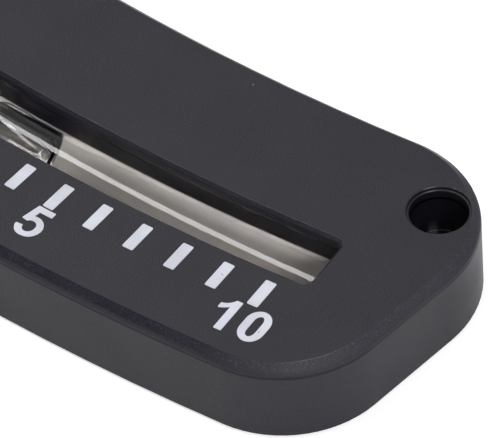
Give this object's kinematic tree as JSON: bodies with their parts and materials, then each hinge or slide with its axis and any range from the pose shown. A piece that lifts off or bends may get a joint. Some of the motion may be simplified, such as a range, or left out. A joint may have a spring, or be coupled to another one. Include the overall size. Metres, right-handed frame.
{
  "type": "tube clinometer",
  "caption": "Arc-shaped tilt gauge: a bent glass tube of damping liquid in a windowed plate, whose rolling ball points to the slope in degrees on a printed scale.",
  "frame": {"origin": "on the back face, under the tube's centre line at the zero mark", "axes": "the part lies on its back: +X along the plate to the reader's right, +Y up the face towards the arc's centre of curvature, +Z out of the face"},
  "size_m": [0.152, 0.0497, 0.0121],
  "materials": {
    "housing_plastic": "fine-grained matte black moulding",
    "cover_plastic": "matte black sheet",
    "screw_steel": "plated countersunk heads",
    "reflector_plastic": "matte off-white",
    "tube_glass": "clear drawn glass",
    "liquid": "clear, faintly warm liquid",
    "air": "air",
    "ball_steel": "polished bearing steel",
    "plug_rubber": "black rubber",
    "cushion_rubber": "grey foam rubber",
    "scale_print": "white printed ink"
  },
  "bodies": {
    "housing": {"front_housing": "housing_plastic", "back_cover": "cover_plastic", "cover_screws": "screw_steel", "reflector": "reflector_plastic", "glass_tube": "tube_glass", "damping_liquid": "liquid", "end_plug_left": "plug_rubber", "end_plug_right": "plug_rubber", "end_cushion_left": "cushion_rubber", "end_cushion_right": "cushion_rubber", "scale_marks": "scale_print", "numeral_ten_left": "scale_print", "numeral_five_left": "scale_print", "numeral_zero": "scale_print", "numeral_five_right": "scale_print", "numeral_ten_right": "scale_print"},
    "ball": {"indicator_ball": "ball_steel"},
    "bubble": {"air_bubble": "air"}
  },
  "joints": [
    {"name": "ball_roll", "type": "hinge", "parent": "housing", "child": "ball", "pos_m": [0, 0.3418, 0], "axis": [0, 0, 1], "range_deg": [-10.3, 10.3], "deforming": ["damping_liquid", "air_bubble"]},
    {"name": "bubble_drift", "type": "hinge", "parent": "housing", "child": "bubble", "pos_m": [0, 0.3418, 0], "axis": [0, 0, 1], "range_deg": [-1.1, 6.9], "deforming": ["damping_liquid", "air_bubble"]}
  ]
}
